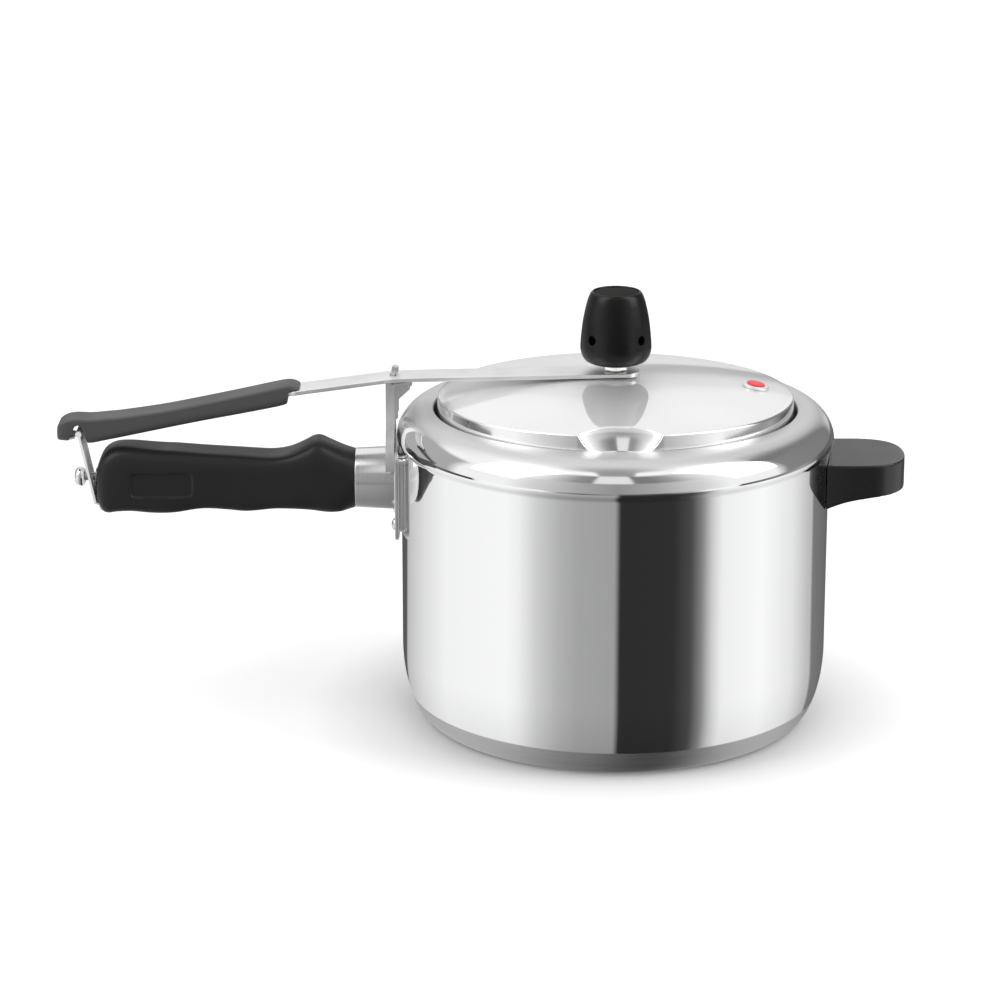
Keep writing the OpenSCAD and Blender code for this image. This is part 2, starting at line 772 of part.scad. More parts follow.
pot_shell();
backing_plate();
handle_plate();
plate_rivets();
ferrule();
bolt_boss();
tie_bolt();
lower_grip();
end_washer();
end_nut();
latch_knob();
latch_pin();
latch_spring();
fulcrum_bracket();
fulcrum_pin();
side_bracket();
side_rivets();
side_grip();
side_screw();
latch_strip();
lever_arm();
fulcrum_saddle();
upper_grip();
grip_screws();
catch_plate();
lid_dish();
gasket();
vent_pipe();
vent_washer();
hub_nut();
vent_screen();
safety_collar();
safety_nut();
safety_plug();
weight_cap();
weight_core();
weight_disc();
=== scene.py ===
# %% [markdown]
# # A stovetop pressure cooker
# The cooker is a spun aluminium pot with a lid that goes inside its mouth. A steel lever pulls the lid up, and
# three black or grey mouldings keep the hands off the metal. This lesson dresses a finished CAD model: every
# piece is rebuilt or given its finish in the place that the CAD frame holds, so nothing is fitted by eye.
# All shapes are drawn in millimetres and turned into metres in one place, `mesh_object`.

# %% Load the frame
import json
import math

import bmesh
import bpy
import numpy as np
from mathutils import Matrix, Vector

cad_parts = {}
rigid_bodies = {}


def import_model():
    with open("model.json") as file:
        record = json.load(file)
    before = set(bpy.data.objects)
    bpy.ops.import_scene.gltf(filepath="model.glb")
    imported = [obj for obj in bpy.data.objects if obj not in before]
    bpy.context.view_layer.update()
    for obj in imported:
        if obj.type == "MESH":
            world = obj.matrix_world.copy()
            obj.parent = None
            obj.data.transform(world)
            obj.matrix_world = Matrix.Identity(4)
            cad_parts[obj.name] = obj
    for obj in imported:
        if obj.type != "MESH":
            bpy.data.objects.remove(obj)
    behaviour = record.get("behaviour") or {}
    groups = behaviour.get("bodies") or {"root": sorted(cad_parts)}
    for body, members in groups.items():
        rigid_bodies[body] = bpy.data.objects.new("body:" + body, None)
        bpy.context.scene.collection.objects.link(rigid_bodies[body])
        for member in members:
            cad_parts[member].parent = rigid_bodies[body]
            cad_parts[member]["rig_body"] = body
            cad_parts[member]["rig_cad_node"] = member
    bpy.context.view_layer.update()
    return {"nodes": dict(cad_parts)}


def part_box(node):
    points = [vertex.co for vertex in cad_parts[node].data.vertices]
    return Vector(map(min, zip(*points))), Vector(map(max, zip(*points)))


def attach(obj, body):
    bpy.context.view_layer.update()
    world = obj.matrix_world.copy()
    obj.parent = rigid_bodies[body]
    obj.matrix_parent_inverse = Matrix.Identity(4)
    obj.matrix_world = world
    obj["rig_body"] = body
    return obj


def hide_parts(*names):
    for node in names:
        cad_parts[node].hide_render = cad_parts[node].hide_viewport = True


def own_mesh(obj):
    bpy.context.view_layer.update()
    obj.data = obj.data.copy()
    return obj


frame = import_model()
MM = 0.001


def box_mm(node):
    """Lowest and highest corner of a CAD node, in millimetres, as two rows."""
    return np.array([list(corner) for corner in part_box(node)]) / MM


def new_object(name, data):
    made = bpy.data.objects.new(name, data)
    scene.collection.objects.link(made)
    return made


scene = bpy.context.scene

# %% [markdown]
# ## The camera
# A long lens from a little above keeps the pot's sides parallel, as in a catalogue picture. The view is set with
# the Standard transform, so a colour comes out as it is written.

# %% Camera
CAMERA_PITCH = math.radians(16.94)
camera_data = bpy.data.cameras.new("camera")
camera_data.lens = 125.75
camera_data.sensor_width = 36
camera = new_object("camera", camera_data)
camera.location = (-0.0549, -1.6043, 0.5937)
camera.rotation_euler = (math.pi / 2 - CAMERA_PITCH, 0, 0)
scene.camera = camera
scene.view_settings.view_transform = "Standard"
print("camera looks along +Y,", round(math.degrees(CAMERA_PITCH), 1), "degrees down")

# %% [markdown]
# ## Node helpers
# Every finish is a Principled shader with a few nodes in front of it. Small helpers keep the materials readable:
# one makes the material, one adds a node and sets its inputs, and one gives a stretched noise, which stands for
# brushed lines, moulded grain and handling marks alike.


# %% Node helpers
def add_node(tree, kind, inputs=None, **settings):
    node = tree.nodes.new("ShaderNode" + kind)
    for key, value in settings.items():
        setattr(node, key, value)
    for key, value in (inputs or {}).items():
        if isinstance(value, bpy.types.NodeSocket):
            tree.links.new(value, node.inputs[key])
        else:
            node.inputs[key].default_value = value
    return node


def new_material(name, **sockets):
    """A material with one Principled shader, whose plain inputs are set by name."""
    material = bpy.data.materials.new(name)
    material.use_nodes = True
    shader = material.node_tree.nodes["Principled BSDF"]
    for key, value in sockets.items():
        shader.inputs[key.replace("_", " ").title().replace("Ior", "IOR")].default_value = value
    return material, material.node_tree, shader


def place(tree, stretch=(1, 1, 1)):
    """The point on the object, in metres, stretched along its axes."""
    where = add_node(tree, "TexCoord").outputs["Object"]
    return add_node(tree, "Mapping", {"Vector": where, "Scale": stretch}).outputs["Vector"]


def height_on(tree):
    return add_node(tree, "SeparateXYZ", {"Vector": place(tree)}).outputs["Z"]


def noise(tree, stretch, detail=3.0):
    where = {"Vector": place(tree, stretch), "Scale": 1.0, "Detail": detail, "Roughness": 0.5}
    return add_node(tree, "TexNoise", where).outputs["Fac"]


def spread(tree, value, low, high, from_low=0.3, from_high=0.7):
    """Maps a noise's useful middle, or another span, to a range of values."""
    return add_node(tree, "MapRange", {
        "Value": value, "From Min": from_low, "From Max": from_high, "To Min": low, "To Max": high,
    }).outputs["Result"]


def blend_colours(tree, share, first, second):
    return add_node(tree, "Mix", {0: share, 6: first, 7: second}, data_type="RGBA").outputs[2]


def calculate(tree, operation, *values):
    return add_node(tree, "Math", dict(enumerate(values)), operation=operation).outputs[0]


def toned(tree, value, tint=(1.0, 1.0, 1.0)):
    """A colour as bright as a value that changes over the surface, with its channels scaled by a tint."""
    channels = [value if factor == 1.0 else calculate(tree, "MULTIPLY", value, factor) for factor in tint]
    return add_node(tree, "CombineColor", dict(enumerate(channels))).outputs[0]


def bump(tree, shader, height, distance, strength=1.0):
    made = add_node(tree, "Bump", {"Height": height, "Distance": distance, "Strength": strength})
    tree.links.new(made.outputs["Normal"], shader.inputs["Normal"])


def grey(value):
    return (value, value, value, 1.0)


# %% [markdown]
# ## Polished and satin aluminium
# The pot is spun from a disc and then polished on a lathe. Its wall is close to a mirror, and a buffing wheel
# leaves very faint rings. The lowest band is left satin, and so is the flat flange round the mouth. One material
# does all of it: the height on the pot chooses between polish and satin. The lid has a material of its own, where
# a clear coat gives the sharp reflection and the metal under it the haze.


# %% Aluminium
BAND_TOP = (0.0126, 0.013)      # the satin band ends between these heights, in metres
FLANGE_LOW = (0.1478, 0.1508)   # the polish turns satin between these
DOME_LOW = (0.1576, 0.1586)     # the lid's polish turns to haze between these


def pot_aluminium():
    material, tree, shader = new_material("pot_aluminium", metallic=1.0)
    height = height_on(tree)
    polish = spread(tree, height, 0.0, 1.0, *BAND_TOP)
    rings = noise(tree, (3, 3, 2600), detail=2.0)
    smudges = noise(tree, (14, 14, 9), detail=4.0)
    satin_rings = noise(tree, (25, 25, 4200), detail=2.0)
    # the satin band's darker grey is partly its own finish and partly painted shade, standing for the floor's
    # shadow that it reflects
    satin_tone_and_painted_shade = toned(tree, spread(tree, satin_rings, 0.45, 0.54))
    colour = blend_colours(tree, polish, satin_tone_and_painted_shade, (0.92535, 0.92814, 0.93, 1.0))
    colour = blend_colours(tree, spread(tree, height, 0.0, 1.0, *FLANGE_LOW), colour, grey(0.74))
    tree.links.new(colour, shader.inputs["Base Color"])
    flange = spread(tree, height, 0.0, 0.45, *FLANGE_LOW)
    mirror = calculate(tree, "ADD", spread(tree, smudges, 0.03, 0.06), spread(tree, rings, 0.0, 0.02))
    mirror = calculate(tree, "ADD", mirror, flange)
    matt = spread(tree, satin_rings, 0.34, 0.46)
    roughness = add_node(tree, "Mix", {0: polish, 2: matt, 3: mirror}, data_type="FLOAT")
    tree.links.new(roughness.outputs[0], shader.inputs["Roughness"])
    lines = calculate(tree, "MULTIPLY", satin_rings, calculate(tree, "SUBTRACT", 1.0, polish))
    bump(tree, shader, lines, 0.00003, 0.6)
    return material


def lid_aluminium():
    """A haze under a sharp reflection on the buffed dome, and plain polish on its steep rim and in the scoop."""
    material, tree, shader = new_material(
        "lid_aluminium", metallic=1.0, coat_weight=1.0, coat_roughness=0.02, coat_ior=4.0)
    buffed = spread(tree, height_on(tree), 0.0, 0.52, *DOME_LOW)
    smudges = noise(tree, (22, 22, 22), detail=5.0)
    tree.links.new(toned(tree, spread(tree, smudges, 0.93, 0.97)), shader.inputs["Base Color"])
    haze = calculate(tree, "ADD", buffed, spread(tree, smudges, 0.1, 0.18))
    tree.links.new(haze, shader.inputs["Roughness"])
    return material


POT_ALUMINIUM = pot_aluminium()
LID_ALUMINIUM = lid_aluminium()
print("made", POT_ALUMINIUM.name, "and", LID_ALUMINIUM.name)

# %% [markdown]
# ## Steel
# The lever is a satin bar with a faint grain along it, the ferrule is brushed round its axis, and the pressed
# plates are only tumbled. They differ in tone, in roughness and in the direction in which a noise is stretched:
# the lines run along the axis that has the smallest number. The latch strip is only partly metallic, because a
# full mirror would show the black grip beside it and hardly anything else.


# %% Steel and brass
def brushed_metal(name, tone, roughness, stretch, depth=0.00002, tint=(1.0, 1.0, 1.0), metallic=1.0):
    """A metal with fine lines. tone and roughness are (low, high) over the lines."""
    material, tree, shader = new_material(name, metallic=metallic)
    lines = noise(tree, stretch)
    marks = noise(tree, (60, 60, 60), detail=4.0)
    tree.links.new(toned(tree, spread(tree, lines, *tone), tint), shader.inputs["Base Color"])
    wear = calculate(tree, "MULTIPLY", spread(tree, marks, 0.85, 1.2), spread(tree, lines, *roughness))
    tree.links.new(wear, shader.inputs["Roughness"])
    bump(tree, shader, lines, depth, 0.5)
    return material


ARM_STEEL = brushed_metal("arm_steel", (0.94, 0.99), (0.4, 0.48), (12, 1400, 1400), 0.0000015)
FERRULE_STEEL = brushed_metal("ferrule_steel", (0.8, 0.86), (0.16, 0.22), (2600, 30, 30), 0.000002)
PLATE_STEEL = brushed_metal("plate_steel", (0.88, 0.95), (0.3, 0.4), (400, 400, 90), 0.000004)
STRIP_STEEL = brushed_metal("strip_steel", (0.93, 0.99), (0.4, 0.5), (400, 400, 90), 0.000002, metallic=0.25)
BRIGHT_STEEL = brushed_metal("bright_steel", (0.78, 0.86), (0.07, 0.13), (900, 900, 900), 0.000005)
DULL_STEEL = brushed_metal("dull_steel", (0.42, 0.52), (0.35, 0.5), (700, 700, 700))
BRASS = brushed_metal("turned_brass", (0.72, 0.8), (0.2, 0.3), (60, 60, 2500), tint=(1.0, 0.8, 0.42))
print("made seven metals")

# %% [markdown]
# ## Plastic and rubber
# The grips are pressed from a thermoset, which comes out of a steel mould with a very fine grain. The long lower
# grip is a satin black, the side grip is black too and glossier, and the lever's grip is a dull dark grey. The
# grain is a noise of a few tenths of a millimetre, and a slow second noise varies the gloss where hands have
# rubbed it.


# %% Plastic and rubber
def moulding(name, colour, gloss, grain=2600, depth=0.00002, **sockets):
    """A moulded plastic. gloss is the roughness (low, high) over its rubbed and fresh places."""
    material, tree, shader = new_material(name, **sockets)
    grain_noise = noise(tree, (grain, grain, grain), detail=2.0)
    rubbed = noise(tree, (45, 60, 60))
    tones = [tuple(channel * factor for channel in colour) + (1.0,) for factor in (0.85, 1.2)]
    tree.links.new(blend_colours(tree, grain_noise, *tones), shader.inputs["Base Color"])
    tree.links.new(spread(tree, rubbed, *gloss), shader.inputs["Roughness"])
    bump(tree, shader, grain_noise, depth, 0.35)
    return material


BLACK_GRIP = moulding("black_grip", (0.0165, 0.0165, 0.017), (0.28, 0.38), specular_ior_level=0.25)
SIDE_BLACK = moulding("side_black", (0.013, 0.013, 0.0135), (0.2, 0.28), specular_ior_level=0.55)
GREY_GRIP = moulding("grey_grip", (0.05, 0.05, 0.051), (0.38, 0.48), grain=1900, depth=0.00004,
                     specular_ior_level=0.75)
WEIGHT_BLACK = moulding("weight_black", (0.0022, 0.0022, 0.002), (0.26, 0.34), specular_ior_level=0.32)
DISC_BLACK = moulding("disc_black", (0.012, 0.012, 0.0095), (0.6, 0.75), specular_ior_level=0.12)
RED_SILICONE = moulding("red_silicone", (0.86, 0.035, 0.045), (0.32, 0.4), depth=0.000005)
GREY_RUBBER = moulding("grey_rubber", (0.09, 0.09, 0.095), (0.6, 0.75))
print("made seven mouldings")

# %% [markdown]
# ## Mesh helpers
# Most pieces are turned or extruded, so three tools make nearly everything: `rounded` puts fillets on the
# corners of an outline, `skin` joins rings of points with quads, and `lathe` turns an outline round an axis.
# `dress` then gives a piece its finish and its CAD body, and hides the node that it stands for.


# %% Mesh helpers
def shade(mesh, sharp=35):
    """Smooth shading, where edges that turn by more than the angle stay crisp."""
    mesh.shade_smooth()
    mesh.set_sharp_from_angle(angle=math.radians(sharp))


def mesh_from(work, name, sharp=35):
    """A shaded mesh from a bmesh, which is used up."""
    mesh = bpy.data.meshes.new(name)
    work.to_mesh(mesh)
    work.free()
    shade(mesh, sharp)
    return mesh


def mesh_object(name, points, faces, sharp=35):
    """An object from points in millimetres, with its normals facing out."""
    mesh = bpy.data.meshes.new(name)
    mesh.from_pydata([tuple(float(c) * MM for c in p) for p in points], [], faces)
    work = bmesh.new()
    work.from_mesh(mesh)
    bmesh.ops.recalc_face_normals(work, faces=work.faces)
    work.to_mesh(mesh)
    work.free()
    shade(mesh, sharp)
    return new_object(name, mesh)


def skin(name, rings, sharp=35):
    """Joins closed rings of equal length. A ring of one point is a pole, and open ends get a cap."""
    points, starts = [], []
    for ring in rings:
        starts.append(len(points))
        points.extend(ring)
    count = max(len(ring) for ring in rings)
    faces = []
    for a, b, ring_a, ring_b in zip(starts, starts[1:], rings, rings[1:]):
        for j in range(count):
            k = (j + 1) % count
            if len(ring_a) == 1:
                faces.append((a, b + j, b + k))
            elif len(ring_b) == 1:
                faces.append((a + j, b, a + k))
            else:
                faces.append((a + j, b + j, b + k, a + k))
    for start, ring in ((starts[0], rings[0]), (starts[-1], rings[-1])):
        if len(ring) > 1 and not np.allclose(rings[0], rings[-1]):
            faces.append(tuple(range(start, start + count)))
    return mesh_object(name, points, faces, sharp)


def rounded(corners, turn=12):
    """An outline from (x, y, radius) corners: each corner becomes an arc in steps of turn degrees."""
    line = []
    for i, (x, y, radius) in enumerate(corners):
        here = Vector((x, y))
        if radius == 0 or i in (0, len(corners) - 1):
            line.append((x, y))
            continue
        back = (Vector(corners[i - 1][:2]) - here).normalized()
        ahead = (Vector(corners[i + 1][:2]) - here).normalized()
        half = back.angle(ahead) / 2
        centre = here + (back + ahead).normalized() * radius / math.sin(half)
        first = here + back * radius / math.tan(half) - centre
        sweep = math.copysign(math.pi - 2 * half, ahead.cross(back))
        steps = max(2, math.ceil(math.degrees(abs(sweep)) / turn))
        for step in range(steps + 1):
            angle = sweep * step / steps
            c, s = math.cos(angle), math.sin(angle)
            line.append((centre.x + first.x * c - first.y * s, centre.y + first.x * s + first.y * c))
    return line


def flowing(points, per_span=6):
    """A smooth line through points of any dimension, by Catmull and Rom's spline."""
    points = np.array(points, float)
    padded = np.vstack([2 * points[0] - points[1], points, 2 * points[-1] - points[-2]])
    line = []
    for a, b, c, d in zip(padded, padded[1:], padded[2:], padded[3:]):
        for step in range(per_span):
            t = step / per_span
            line.append(0.5 * (2 * b + (c - a) * t + (2 * a - 5 * b + 4 * c - d) * t**2
                               + (3 * b - a - 3 * c + d) * t**3))
    return line + [points[-1]]


def lathe(name, line, axis="Z", at=(0, 0, 0), segments=96):
    """Turns an outline of (radius, height) points round Z or X, through a point."""
    at = np.array(at, float)
    rings = []
    for radius, height in line:
        ring = []
        for j in range(1 if radius < 1e-6 else segments):
            angle = 2 * math.pi * j / segments
            u, v = radius * math.cos(angle), radius * math.sin(angle)
            ring.append(at + {"Z": (u, v, height), "X": (height, u, v)}[axis])
        rings.append(ring)
    return skin(name, rings)


def rod(name, radius, low, high, axis="Z", at=(0, 0, 0), segments=48):
    return lathe(name, [(0, low), (radius, low), (radius, high), (0, high)], axis, at, segments)


def dress(piece, material, body, node):
    piece.data.materials.clear()
    piece.data.materials.append(material)
    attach(piece, body)
    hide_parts(node)
    print(piece.name, "has", len(piece.data.polygons), "faces")
    return piece


def apply_modifier(piece, kind, **settings):
    modifier = piece.modifiers.new(kind, kind)
    for key, value in settings.items():
        setattr(modifier, key, value)
    depsgraph = bpy.context.evaluated_depsgraph_get()
    mesh = bpy.data.meshes.new_from_object(piece.evaluated_get(depsgraph))
    piece.modifiers.remove(modifier)
    old = piece.data
    piece.data = mesh
    bpy.data.meshes.remove(old)


def combine(piece, operation, *tools):
    """A boolean of the piece and each tool, which is used up."""
    for tool in tools:
        apply_modifier(piece, "BOOLEAN", object=tool, operation=operation, solver="EXACT")
        bpy.data.objects.remove(tool)


def prism(name, outline, depth, axis="Y", middle=0):
    """An outline of two coordinates, pushed half of depth each way along Y or Z."""
    sides = (middle - depth / 2, middle + depth / 2)
    return skin(name, [[{"Y": (a, side, b), "Z": (a, b, side)}[axis] for a, b in outline] for side in sides])


def moulded(piece, voxel, smoothing):
    """Rebuilds a cut shape as one even skin with soft edges, as it leaves a mould."""
    apply_modifier(piece, "REMESH", mode="VOXEL", voxel_size=voxel * MM, use_smooth_shade=True)
    apply_modifier(piece, "SMOOTH", factor=0.5, iterations=smoothing)
    piece.data.shade_smooth()
    return piece


# %% [markdown]
# ## The pot
# The pot is one skin that starts at the middle of the base, runs up the outside, over the rolled shoulder and
# across the flat flange to the mouth, and comes back down the inside. The wall is round and the mouth is oval,
# so on the flange each ring is a mixture of a circle and the oval.

# %% Pot sizes
shell_high = box_mm("pot_shell")[1]
BEAD = 2.2                       # how far the shoulder stands out past the wall
POT_R = shell_high[0] - BEAD
POT_H = shell_high[2]
POT_STEPS = 288                  # points round the pot
WALL = 2.5
BASE = 3.0
LIP = 0.8                        # radius of the mouth's upper edge
CORNER = (14.0, 36.0)            # width and height of the rounded bottom corner
SHOULDER_R = 14.3
SHOULDER = (POT_R + BEAD - SHOULDER_R, POT_H - SHOULDER_R)
MOUTH = (86.7, 78.8)             # half length and half width of the mouth
END_R = 75.0                     # radius of the oval's two ends
end_centre = MOUTH[0] - END_R
side_centre = (end_centre**2 - (MOUTH[1] - END_R) ** 2) / (2 * (MOUTH[1] - END_R))
side_radius = MOUTH[1] + side_centre
join = math.atan2(END_R * side_centre, END_R * end_centre + end_centre * math.hypot(end_centre, side_centre))


def oval_radius(angle, grow):
    """Distance from the axis to the oval of four arcs, in the direction of an angle."""
    c, s = abs(math.cos(angle)), abs(math.sin(angle))
    on_side = math.atan2(s, c) > join
    centre, radius = ((0, -side_centre), side_radius) if on_side else ((end_centre, 0), END_R)
    along = centre[0] * c + centre[1] * s
    return along + math.sqrt(along**2 - centre[0] ** 2 - centre[1] ** 2 + (radius + grow) ** 2)


def mouth_ring(angles, grow, height):
    return [(oval_radius(a, grow) * math.cos(a), oval_radius(a, grow) * math.sin(a), height) for a in angles]


print("pot radius", round(POT_R, 1), "height", round(POT_H, 1))


# %% Pot
def pot_side(inset, base):
    """The outline of one face of the wall, from the base to the top of the shoulder."""
    p, q = CORNER[0] - inset, CORNER[1] - base
    x = POT_R - inset
    corner = [(x - p + p * math.sin(a), base + q - q * math.cos(a)) for a in np.radians(np.arange(0, 91, 4.5))]
    z, radius = SHOULDER[1], SHOULDER_R - inset
    crease = flowing([(x, z - 4.0), (x + 0.02, z - 2.9), (x + 0.5, z - 1.8), (x + BEAD - 0.5, z - 0.8),
                      (x + BEAD - 0.03, z + 0.2)], 4)
    arc = [(SHOULDER[0] + radius * math.cos(a), z + radius * math.sin(a))
           for a in np.radians(np.arange(4, 91, 3.0))]
    return corner + crease + arc


def build_pot():
    angles = np.linspace(0, 2 * math.pi, POT_STEPS, endpoint=False)

    def circle(radius, height):
        return [(radius * math.cos(a), radius * math.sin(a), height) for a in angles]

    def flange(share, height):
        """A ring of the flange: share 0 is the shoulder's circle, and share 1 is the mouth."""
        outer, inner = circle(SHOULDER[0], height), mouth_ring(angles, LIP, height)
        return list(np.array(outer) * (1 - share) + np.array(inner) * share)

    outside, inside = pot_side(0, 0), pot_side(WALL, BASE)
    rings = [[(0, 0, 0)]] + [circle(r, 0) for r in (30, 60, 80)] + [circle(*p) for p in outside]
    rings += [flange(share, POT_H) for share in (0.25, 0.5, 0.75, 1.0)]
    rings += [mouth_ring(angles, LIP - LIP * math.sin(a), POT_H - LIP + LIP * math.cos(a))
              for a in np.radians(np.arange(15, 91, 15))]
    rings += [mouth_ring(angles, 0, POT_H - WALL)]
    rings += [flange(share, POT_H - WALL) for share in (0.75, 0.5, 0.25)]
    rings += [circle(*p) for p in reversed(inside)]
    rings += [circle(r, BASE) for r in (60, 30)] + [[(0, 0, BASE)]]
    return skin("pot_shell_skin", rings, sharp=50)


dress(build_pot(), POT_ALUMINIUM, "pot", "pot_shell")

# %% [markdown]
# ## The lid
# The lid's middle is a dome, rounder across than along, with a steep rim, and a fingertip scoop is pressed into
# its front edge. A boolean would leave a hard lip, so the dome and the scoop are two height functions, and a
# smooth minimum of the two draws the lip with its own small radius. The columns of points crowd together round
# the scoop.

# %% Lid
lid_low, lid_high = box_mm("lid_dish")
LID_TOP = lid_high[2]
LID_T = 2.5
LID_GAP = 1.2                    # between the lid's raised part and the mouth
RIM_GROW = 7.0                   # how far the hidden rim reaches under the flange
RIM_SOFT = 0.6
DOME = (380.0, 342.0)            # radii of the dome, along X and across it
SCOOP = (-101.5, 171.0, 36.1)    # y, z and radius of the ball that shapes the scoop
SCOOP_FLOOR = 149.5
SCOOP_LIP, FLOOR_LIP = 0.7, 1.0  # reach of the smooth minimum round the scoop and round its floor
LID_EDGE = 1.2                   # radius of the rim's top edge
LID_DRAFT = 0.9                  # how far the rim's wall leans in on its way up


def smooth_min(a, b, reach):
    share = min(max(0.5 + 0.5 * (b - a) / reach, 0.0), 1.0)
    return b * (1 - share) + a * share - reach * share * (1 - share)


def dome_height(x, y):
    across = DOME[1] - DOME[0] + math.sqrt(DOME[0] ** 2 - x * x)
    return LID_TOP - DOME[1] + math.sqrt(across**2 - y * y)


def lid_height(x, y):
    dome = dome_height(x, y)
    inside = SCOOP[2] ** 2 - x * x - (y - SCOOP[0]) ** 2
    if inside <= 0:
        return dome
    bowl = -smooth_min(-(SCOOP[1] - math.sqrt(inside)), -SCOOP_FLOOR, FLOOR_LIP)
    return smooth_min(dome, bowl, SCOOP_LIP)


def build_lid():
    fine = np.arange(-20, 20, 0.4)
    coarse = np.arange(20, 340, 2.0)
    angles = np.radians(np.concatenate([fine, coarse]) - 90)
    edge = -LID_GAP - LID_EDGE - LID_DRAFT
    shares = np.concatenate([np.arange(0.1, 0.76, 0.08), np.arange(0.76, 1.0, 0.005), [1.0]])

    def top_ring(share, drop, grow=0.0):
        """A ring of the dome, lowered by drop. A ring that grows past the edge starts from the edge's height."""
        ring = []
        for a in angles:
            inner, outer = share * oval_radius(a, edge), share * oval_radius(a, edge + grow)
            z = lid_height(inner * math.cos(a), inner * math.sin(a)) - drop
            ring.append((outer * math.cos(a), outer * math.sin(a), z))
        return ring

    rim = [(-LID_GAP, LID_T), (RIM_GROW - RIM_SOFT, LID_T), (RIM_GROW, LID_T - RIM_SOFT), (RIM_GROW, RIM_SOFT),
           (RIM_GROW - RIM_SOFT, 0), (-LID_GAP - LID_T, 0), (-LID_GAP - LID_T, 3)]
    rings = [[(0, 0, lid_height(0, 0))]] + [top_ring(s, 0) for s in shares]
    rings += [top_ring(1, LID_EDGE - LID_EDGE * math.cos(a), LID_EDGE * math.sin(a))
              for a in np.radians(np.arange(12, 85, 12))]
    rings += [mouth_ring(angles, grow, lid_low[2] + rise) for grow, rise in rim]
    rings += [top_ring(s, LID_T) for s in (0.96, 0.9, 0.8, 0.7, 0.5, 0.3, 0.1)] + [[(0, 0, LID_TOP - LID_T)]]
    return skin("lid_skin", rings, sharp=50)


dress(build_lid(), LID_ALUMINIUM, "lid", "lid_dish")

# %% [markdown]
# ## The lever arm
# The arm is a flat bar with a round tip, bent a little where it crosses the fulcrum. It is a row of rounded
# rectangles along a line of fillets, and the width of each one comes from the shape that the bar has from above.

# %% Lever arm
ARM_TIP, ARM_HALF = box_mm("lever_arm")[1][:2]
ARM_T = 2.0
ARM_SOFT = 0.35                  # radius of the bar's edges
TIP_R = 9.6
NECK_X, NECK_Z, NECK_REACH = -152, 160.1, 8  # here the bar narrows, before it enters the grip
NECK_HALF = 5.5
ARM_LINE = [(ARM_TIP, 168.94, 0), (-105, 166.5, 60), (NECK_X, NECK_Z, 90), (-240, 142.5, 0)]  # x, z, bend
ARM_SLOT = [(-107.3, -3.1), (-104.2, -3.1), (-104.2, 3.1), (-107.3, 3.1)]  # for the fulcrum's tongue


def arm_half_width(x):
    tip = TIP_R**2 - max(x - (ARM_TIP - TIP_R), 0) ** 2
    shoulder = ARM_HALF - (ARM_HALF - NECK_HALF) * min(max((NECK_X - x) / NECK_REACH, 0), 1)
    return min(shoulder, math.sqrt(max(tip, 0.05)))


def build_arm():
    line = rounded(ARM_LINE, turn=0.4)
    start, end = Vector(line[0]), Vector(line[1])
    near_tip = [start.lerp(end, TIP_R * (1 - math.cos(a)) / (start - end).length)
                for a in np.radians(np.arange(0, 91, 7.5))]
    stations = [tuple(p) for p in near_tip] + [tuple(start.lerp(end, s)) for s in (0.3, 0.6, 0.9)] + line[1:]
    stations += [(NECK_X - s, NECK_Z - s * 0.2) for s in (2, 4, 6, NECK_REACH)]
    stations = sorted(set(stations), reverse=True)
    rings = []
    for i, (x, z) in enumerate(stations):
        before, after = stations[max(i - 1, 0)], stations[min(i + 1, len(stations) - 1)]
        along = (Vector(after) - Vector(before)).normalized()
        up = Vector((along.y, -along.x))
        if up.y < 0:
            up = -up
        half = arm_half_width(x)
        soft = min(ARM_SOFT, half * 0.4)
        inset = min(0.3, (half - soft) / 2)
        edge = [(half, ARM_T / 2 - soft - 0.2)]  # the side, then the round edge and the start of the flat top
        edge += [(half - soft + soft * math.cos(turn), ARM_T / 2 - soft + soft * math.sin(turn))
                 for turn in np.radians((0, 30, 60, 90))]
        edge += [(half - soft - inset, ARM_T / 2)]
        ring = []
        for sy, sz in ((1, 1), (-1, 1), (-1, -1), (1, -1)):
            for y, h in edge if sy == sz else reversed(edge):
                ring.append((x + up.x * sz * h, sy * y, z + up.y * sz * h))
        rings.append(ring)
    arm = skin("lever_arm_bar", rings, sharp=40)
    combine(arm, "DIFFERENCE", prism("slot", ARM_SLOT, 20, "Z", 166))
    shade(arm.data, 40)
    return arm


dress(build_arm(), ARM_STEEL, "lever", "lever_arm")

# %% [markdown]
# ## The long lower grip
# A moulding like this is easiest as a loft: a row of rounded cross-sections, each with its own top, underside and
# width. The recess on its side, the counterbore at its end and the latch's slot are cut with booleans, and a
# voxel remesh with a little smoothing turns it all into one skin with the soft edges of a moulded part.

# %% Lower grip
LOWER_STATIONS = [  # x, top, underside, half width, squareness
    (-247.3, 120.9, 107.1, 7.5, 2.6), (-247, 123.4, 104.2, 9.8, 2.8), (-245, 128.5, 101.1, 12, 3.2),
    (-242.5, 131.4, 100.3, 13, 3.5), (-238, 133.3, 101.1, 13.7, 3.8), (-231, 133.5, 101.5, 14, 4),
    (-222, 132.8, 100.7, 14, 4), (-215, 132.3, 100.6, 14, 4), (-209, 132.1, 101, 13.8, 4),
    (-197, 131.2, 102.8, 13.4, 4), (-185, 130.5, 102.2, 13.1, 4), (-178, 130.1, 101.5, 13.1, 4),
    (-172, 129.7, 101.7, 13.1, 4), (-163, 129.3, 102.7, 13.3, 4), (-155, 130.7, 102.6, 13.7, 3.8),
    (-148, 134, 102, 14, 3.4), (-144, 136.3, 101.4, 14.2, 3.1), (-140.5, 136.8, 100.7, 14.3, 2.9),
    (-136, 134.9, 100.2, 14.4, 2.7), (-131, 132.8, 100.4, 14.5, 2.4), (-127.5, 131.6, 101.4, 14.5, 2.2),
    (-124, 130.7, 102.3, 14.2, 2)]
GRIP_Z = 116.5                   # axis of the ferrule
BOLT_AT = (0, 0, 117.0)          # on the tie bolt's axis
PANEL = (30, 12, 2.5, (-216, 116.2))  # width, height, corner radius and middle
